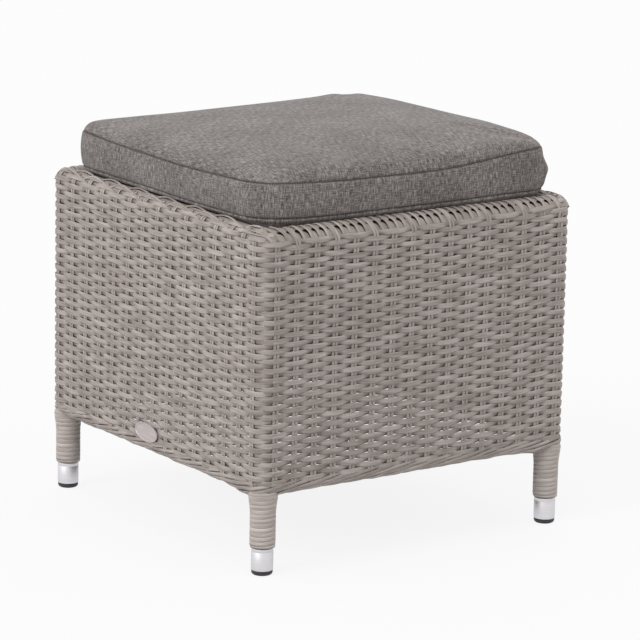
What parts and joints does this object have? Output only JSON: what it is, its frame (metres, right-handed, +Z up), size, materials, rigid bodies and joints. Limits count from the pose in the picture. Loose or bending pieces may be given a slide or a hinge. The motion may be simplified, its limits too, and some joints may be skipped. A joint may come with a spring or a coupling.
{
  "type": "outdoor ottoman footstool",
  "caption": "Square woven outdoor footstool: welded tube frame in a woven skin with rolled rim, wound legs on metal ferrules, and a loose zipped seat cushion.",
  "frame": {"origin": "on the floor, at the middle of the four legs", "axes": "+Z up, the front face looks along -Y, +X to the right seen from the front"},
  "size_m": [0.432, 0.452, 0.4578],
  "materials": {
    "powder_coated_frame": "matt powder coat",
    "woven_strand": "satin, finely grooved half-round strand",
    "brushed_ferrule": "brushed",
    "black_glide": "satin moulded",
    "cushion_fabric": "slubbed melange weave",
    "cushion_foam": "open-cell foam",
    "zip_tape": "woven tape with nylon coil",
    "zip_metal": "satin"
  },
  "bodies": {
    "stool": {"leg_post_front_left": "powder_coated_frame", "corner_weave_front_left": "woven_strand", "leg_winding_front_left": "woven_strand", "leg_ferrule_front_left": "brushed_ferrule", "leg_glide_front_left": "black_glide", "leg_post_front_right": "powder_coated_frame", "corner_weave_front_right": "woven_strand", "leg_winding_front_right": "woven_strand", "leg_ferrule_front_right": "brushed_ferrule", "leg_glide_front_right": "black_glide", "leg_post_back_right": "powder_coated_frame", "corner_weave_back_right": "woven_strand", "leg_winding_back_right": "woven_strand", "leg_ferrule_back_right": "brushed_ferrule", "leg_glide_back_right": "black_glide", "leg_post_back_left": "powder_coated_frame", "corner_weave_back_left": "woven_strand", "leg_winding_back_left": "woven_strand", "leg_ferrule_back_left": "brushed_ferrule", "leg_glide_back_left": "black_glide", "top_rail_front": "powder_coated_frame", "low_rail_front": "powder_coated_frame", "side_weave_front": "woven_strand", "rim_wrap_front": "woven_strand", "hem_wrap_front": "woven_strand", "top_rail_right": "powder_coated_frame", "low_rail_right": "powder_coated_frame", "side_weave_right": "woven_strand", "rim_wrap_right": "woven_strand", "hem_wrap_right": "woven_strand", "top_rail_back": "powder_coated_frame", "low_rail_back": "powder_coated_frame", "side_weave_back": "woven_strand", "rim_wrap_back": "woven_strand", "hem_wrap_back": "woven_strand", "top_rail_left": "powder_coated_frame", "low_rail_left": "powder_coated_frame", "side_weave_left": "woven_strand", "rim_wrap_left": "woven_strand", "hem_wrap_left": "woven_strand", "seat_bar_1": "powder_coated_frame", "seat_bar_2": "powder_coated_frame", "seat_bar_3": "powder_coated_frame", "seat_weave": "woven_strand"},
    "cushion": {"cushion_cover": "cushion_fabric", "cushion_core": "cushion_foam", "zip_tape": "zip_tape"},
    "zip_slider": {"zip_slider": "zip_metal"},
    "zip_pull": {"zip_pull": "zip_metal"}
  },
  "joints": [
    {"name": "cushion_lift", "type": "slide", "parent": "stool", "child": "cushion", "axis": [0, 0, 1], "range_m": [0, 0.15]},
    {"name": "zip_run", "type": "slide", "parent": "cushion", "child": "zip_slider", "axis": [1, 0, 0], "range_m": [0, 0.262]},
    {"name": "zip_pull_swing", "type": "hinge", "parent": "zip_slider", "child": "zip_pull", "pos_m": [-0.1312, 0.2105, 0.4178], "axis": [0, 0, -1], "range_deg": [0, 170]}
  ]
}
